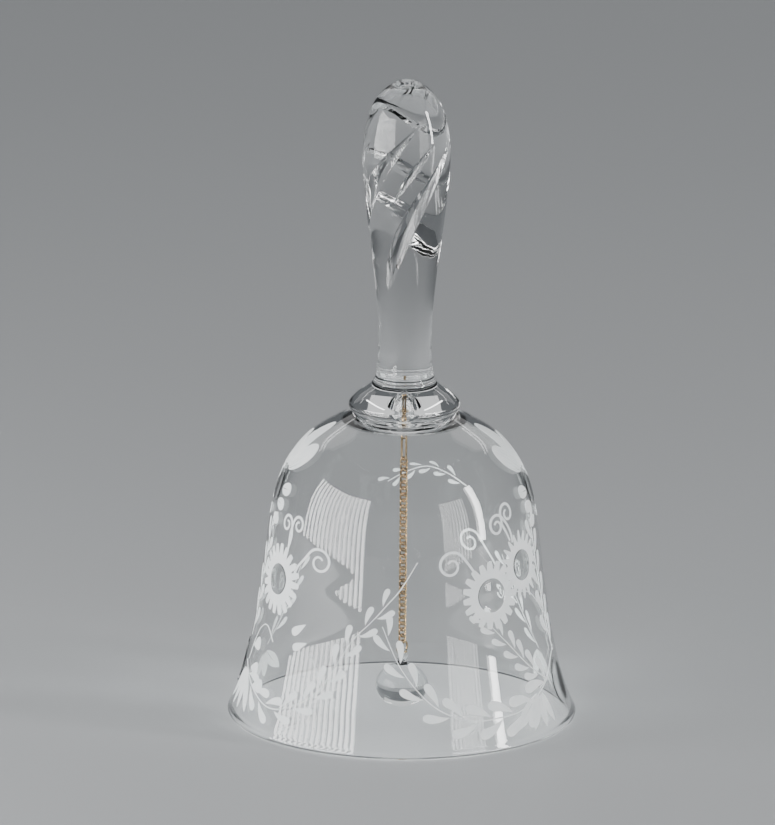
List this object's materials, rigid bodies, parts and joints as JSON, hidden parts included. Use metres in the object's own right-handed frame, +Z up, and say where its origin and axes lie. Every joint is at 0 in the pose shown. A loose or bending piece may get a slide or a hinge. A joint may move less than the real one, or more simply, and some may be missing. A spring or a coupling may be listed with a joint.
{
  "type": "glass bell",
  "caption": "Clear glass hand bell: flared blown bowl with engraved flowers, pressed collar, spiral cut solid handle, and a glass clapper on a fine brass chain.",
  "frame": {"origin": "centre of the rim, on the plane that the bell stands on", "axes": "+Z up along the bell's axis, from the rim to the head of the handle; -Y is the front"},
  "size_m": [0.096, 0.096, 0.1788],
  "materials": {
    "bowl_glass": "clear, fire polished, with frosted engraving",
    "handle_glass": "clear, polished cuts",
    "clapper_glass": "clear, fire polished",
    "brass": "polished",
    "cement": "matt white cement"
  },
  "bodies": {
    "bell": {"bell_bowl": "bowl_glass", "collar": "handle_glass", "handle": "handle_glass", "crown_plug": "cement", "hanging_eye": "brass"},
    "top_link": {"top_link": "brass"},
    "chain_link_01": {"chain_link_01": "brass"},
    "chain_link_02": {"chain_link_02": "brass"},
    "chain_link_03": {"chain_link_03": "brass"},
    "chain_link_04": {"chain_link_04": "brass"},
    "chain_link_05": {"chain_link_05": "brass"},
    "chain_link_06": {"chain_link_06": "brass"},
    "chain_link_07": {"chain_link_07": "brass"},
    "chain_link_08": {"chain_link_08": "brass"},
    "chain_link_09": {"chain_link_09": "brass"},
    "chain_link_10": {"chain_link_10": "brass"},
    "chain_link_11": {"chain_link_11": "brass"},
    "chain_link_12": {"chain_link_12": "brass"},
    "chain_link_13": {"chain_link_13": "brass"},
    "chain_link_14": {"chain_link_14": "brass"},
    "chain_link_15": {"chain_link_15": "brass"},
    "chain_link_16": {"chain_link_16": "brass"},
    "chain_link_17": {"chain_link_17": "brass"},
    "chain_link_18": {"chain_link_18": "brass"},
    "chain_link_19": {"chain_link_19": "brass"},
    "chain_link_20": {"chain_link_20": "brass"},
    "chain_link_21": {"chain_link_21": "brass"},
    "chain_link_22": {"chain_link_22": "brass"},
    "chain_link_23": {"chain_link_23": "brass"},
    "chain_link_24": {"chain_link_24": "brass"},
    "chain_link_25": {"chain_link_25": "brass"},
    "chain_link_26": {"chain_link_26": "brass"},
    "chain_link_27": {"chain_link_27": "brass"},
    "chain_link_28": {"chain_link_28": "brass"},
    "chain_link_29": {"chain_link_29": "brass"},
    "chain_link_30": {"chain_link_30": "brass"},
    "jump_ring": {"jump_ring": "brass"},
    "clapper": {"clapper": "clapper_glass"}
  },
  "joints": [
    {"name": "top_link_swing", "type": "hinge", "parent": "bell", "child": "top_link", "pos_m": [0, 0, 0.07714], "axis": [0.7071, 0.7071, 0], "range_deg": [-18.5, 18.5]},
    {"name": "chain_link_01_swing", "type": "hinge", "parent": "top_link", "child": "chain_link_01", "pos_m": [0, 0, 0.07206], "axis": [0.7071, -0.7071, 0], "range_deg": [-18.5, 18.5]},
    {"name": "chain_link_02_swing", "type": "hinge", "parent": "chain_link_01", "child": "chain_link_02", "pos_m": [0, 0, 0.07103], "axis": [0.7071, 0.7071, 0], "range_deg": [-1.48, 1.48]},
    {"name": "chain_link_03_swing", "type": "hinge", "parent": "chain_link_01", "child": "chain_link_03", "pos_m": [0, 0, 0.06856], "axis": [0.7071, -0.7071, 0], "range_deg": [-1.48, 1.48]},
    {"name": "chain_link_04_swing", "type": "hinge", "parent": "chain_link_01", "child": "chain_link_04", "pos_m": [0, 0, 0.06753], "axis": [0.7071, 0.7071, 0], "range_deg": [-1.48, 1.48]},
    {"name": "chain_link_05_swing", "type": "hinge", "parent": "chain_link_01", "child": "chain_link_05", "pos_m": [0, 0, 0.06506], "axis": [0.7071, -0.7071, 0], "range_deg": [-1.48, 1.48]},
    {"name": "chain_link_06_swing", "type": "hinge", "parent": "chain_link_01", "child": "chain_link_06", "pos_m": [0, 0, 0.06403], "axis": [0.7071, 0.7071, 0], "range_deg": [-1.48, 1.48]},
    {"name": "chain_link_07_swing", "type": "hinge", "parent": "chain_link_01", "child": "chain_link_07", "pos_m": [0, 0, 0.06156], "axis": [0.7071, -0.7071, 0], "range_deg": [-1.48, 1.48]},
    {"name": "chain_link_08_swing", "type": "hinge", "parent": "chain_link_01", "child": "chain_link_08", "pos_m": [0, 0, 0.06053], "axis": [0.7071, 0.7071, 0], "range_deg": [-1.48, 1.48]},
    {"name": "chain_link_09_swing", "type": "hinge", "parent": "chain_link_01", "child": "chain_link_09", "pos_m": [0, 0, 0.05806], "axis": [0.7071, -0.7071, 0], "range_deg": [-1.48, 1.48]},
    {"name": "chain_link_10_swing", "type": "hinge", "parent": "chain_link_01", "child": "chain_link_10", "pos_m": [0, 0, 0.05703], "axis": [0.7071, 0.7071, 0], "range_deg": [-1.48, 1.48]},
    {"name": "chain_link_11_swing", "type": "hinge", "parent": "chain_link_01", "child": "chain_link_11", "pos_m": [0, 0, 0.05456], "axis": [0.7071, -0.7071, 0], "range_deg": [-1.48, 1.48]},
    {"name": "chain_link_12_swing", "type": "hinge", "parent": "chain_link_01", "child": "chain_link_12", "pos_m": [0, 0, 0.05353], "axis": [0.7071, 0.7071, 0], "range_deg": [-1.48, 1.48]},
    {"name": "chain_link_13_swing", "type": "hinge", "parent": "chain_link_01", "child": "chain_link_13", "pos_m": [0, 0, 0.05106], "axis": [0.7071, -0.7071, 0], "range_deg": [-1.48, 1.48]},
    {"name": "chain_link_14_swing", "type": "hinge", "parent": "chain_link_01", "child": "chain_link_14", "pos_m": [0, 0, 0.05003], "axis": [0.7071, 0.7071, 0], "range_deg": [-1.48, 1.48]},
    {"name": "chain_link_15_swing", "type": "hinge", "parent": "chain_link_01", "child": "chain_link_15", "pos_m": [0, 0, 0.04756], "axis": [0.7071, -0.7071, 0], "range_deg": [-1.48, 1.48]},
    {"name": "chain_link_16_swing", "type": "hinge", "parent": "chain_link_01", "child": "chain_link_16", "pos_m": [0, 0, 0.04653], "axis": [0.7071, 0.7071, 0], "range_deg": [-1.48, 1.48]},
    {"name": "chain_link_17_swing", "type": "hinge", "parent": "chain_link_01", "child": "chain_link_17", "pos_m": [0, 0, 0.04406], "axis": [0.7071, -0.7071, 0], "range_deg": [-1.48, 1.48]},
    {"name": "chain_link_18_swing", "type": "hinge", "parent": "chain_link_01", "child": "chain_link_18", "pos_m": [0, 0, 0.04303], "axis": [0.7071, 0.7071, 0], "range_deg": [-1.48, 1.48]},
    {"name": "chain_link_19_swing", "type": "hinge", "parent": "chain_link_01", "child": "chain_link_19", "pos_m": [0, 0, 0.04056], "axis": [0.7071, -0.7071, 0], "range_deg": [-1.48, 1.48]},
    {"name": "chain_link_20_swing", "type": "hinge", "parent": "chain_link_01", "child": "chain_link_20", "pos_m": [0, 0, 0.03953], "axis": [0.7071, 0.7071, 0], "range_deg": [-1.48, 1.48]},
    {"name": "chain_link_21_swing", "type": "hinge", "parent": "chain_link_01", "child": "chain_link_21", "pos_m": [0, 0, 0.03706], "axis": [0.7071, -0.7071, 0], "range_deg": [-1.48, 1.48]},
    {"name": "chain_link_22_swing", "type": "hinge", "parent": "chain_link_01", "child": "chain_link_22", "pos_m": [0, 0, 0.03603], "axis": [0.7071, 0.7071, 0], "range_deg": [-1.48, 1.48]},
    {"name": "chain_link_23_swing", "type": "hinge", "parent": "chain_link_01", "child": "chain_link_23", "pos_m": [0, 0, 0.03356], "axis": [0.7071, -0.7071, 0], "range_deg": [-1.48, 1.48]},
    {"name": "chain_link_24_swing", "type": "hinge", "parent": "chain_link_01", "child": "chain_link_24", "pos_m": [0, 0, 0.03253], "axis": [0.7071, 0.7071, 0], "range_deg": [-1.48, 1.48]},
    {"name": "chain_link_25_swing", "type": "hinge", "parent": "chain_link_01", "child": "chain_link_25", "pos_m": [0, 0, 0.03006], "axis": [0.7071, -0.7071, 0], "range_deg": [-1.48, 1.48]},
    {"name": "chain_link_26_swing", "type": "hinge", "parent": "chain_link_01", "child": "chain_link_26", "pos_m": [0, 0, 0.02903], "axis": [0.7071, 0.7071, 0], "range_deg": [-1.48, 1.48]},
    {"name": "chain_link_27_swing", "type": "hinge", "parent": "chain_link_01", "child": "chain_link_27", "pos_m": [0, 0, 0.02656], "axis": [0.7071, -0.7071, 0], "range_deg": [-1.48, 1.48]},
    {"name": "chain_link_28_swing", "type": "hinge", "parent": "chain_link_01", "child": "chain_link_28", "pos_m": [0, 0, 0.02553], "axis": [0.7071, 0.7071, 0], "range_deg": [-1.48, 1.48]},
    {"name": "chain_link_29_swing", "type": "hinge", "parent": "chain_link_01", "child": "chain_link_29", "pos_m": [0, 0, 0.02306], "axis": [0.7071, -0.7071, 0], "range_deg": [-1.48, 1.48]},
    {"name": "chain_link_30_swing", "type": "hinge", "parent": "chain_link_01", "child": "chain_link_30", "pos_m": [0, 0, 0.02203], "axis": [0.7071, 0.7071, 0], "range_deg": [-1.48, 1.48]},
    {"name": "jump_ring_swing", "type": "hinge", "parent": "chain_link_01", "child": "jump_ring", "pos_m": [0, 0, 0.01956], "axis": [0.7071, -0.7071, 0], "range_deg": [-12, 12]},
    {"name": "clapper_swing", "type": "hinge", "parent": "jump_ring", "child": "clapper", "pos_m": [0, 0, 0.01648], "axis": [0.7071, 0.7071, 0], "range_deg": [-12, 12]}
  ],
  "couplings": [
    {"joint": "chain_link_02_swing", "follows": "top_link_swing", "ratio": 0.08},
    {"joint": "chain_link_03_swing", "follows": "chain_link_01_swing", "ratio": 0.08},
    {"joint": "chain_link_04_swing", "follows": "top_link_swing", "ratio": 0.08},
    {"joint": "chain_link_05_swing", "follows": "chain_link_01_swing", "ratio": 0.08},
    {"joint": "chain_link_06_swing", "follows": "top_link_swing", "ratio": 0.08},
    {"joint": "chain_link_07_swing", "follows": "chain_link_01_swing", "ratio": 0.08},
    {"joint": "chain_link_08_swing", "follows": "top_link_swing", "ratio": 0.08},
    {"joint": "chain_link_09_swing", "follows": "chain_link_01_swing", "ratio": 0.08},
    {"joint": "chain_link_10_swing", "follows": "top_link_swing", "ratio": 0.08},
    {"joint": "chain_link_11_swing", "follows": "chain_link_01_swing", "ratio": 0.08},
    {"joint": "chain_link_12_swing", "follows": "top_link_swing", "ratio": 0.08},
    {"joint": "chain_link_13_swing", "follows": "chain_link_01_swing", "ratio": 0.08},
    {"joint": "chain_link_14_swing", "follows": "top_link_swing", "ratio": 0.08},
    {"joint": "chain_link_15_swing", "follows": "chain_link_01_swing", "ratio": 0.08},
    {"joint": "chain_link_16_swing", "follows": "top_link_swing", "ratio": 0.08},
    {"joint": "chain_link_17_swing", "follows": "chain_link_01_swing", "ratio": 0.08},
    {"joint": "chain_link_18_swing", "follows": "top_link_swing", "ratio": 0.08},
    {"joint": "chain_link_19_swing", "follows": "chain_link_01_swing", "ratio": 0.08},
    {"joint": "chain_link_20_swing", "follows": "top_link_swing", "ratio": 0.08},
    {"joint": "chain_link_21_swing", "follows": "chain_link_01_swing", "ratio": 0.08},
    {"joint": "chain_link_22_swing", "follows": "top_link_swing", "ratio": 0.08},
    {"joint": "chain_link_23_swing", "follows": "chain_link_01_swing", "ratio": 0.08},
    {"joint": "chain_link_24_swing", "follows": "top_link_swing", "ratio": 0.08},
    {"joint": "chain_link_25_swing", "follows": "chain_link_01_swing", "ratio": 0.08},
    {"joint": "chain_link_26_swing", "follows": "top_link_swing", "ratio": 0.08},
    {"joint": "chain_link_27_swing", "follows": "chain_link_01_swing", "ratio": 0.08},
    {"joint": "chain_link_28_swing", "follows": "top_link_swing", "ratio": 0.08},
    {"joint": "chain_link_29_swing", "follows": "chain_link_01_swing", "ratio": 0.08},
    {"joint": "chain_link_30_swing", "follows": "top_link_swing", "ratio": 0.08}
  ]
}
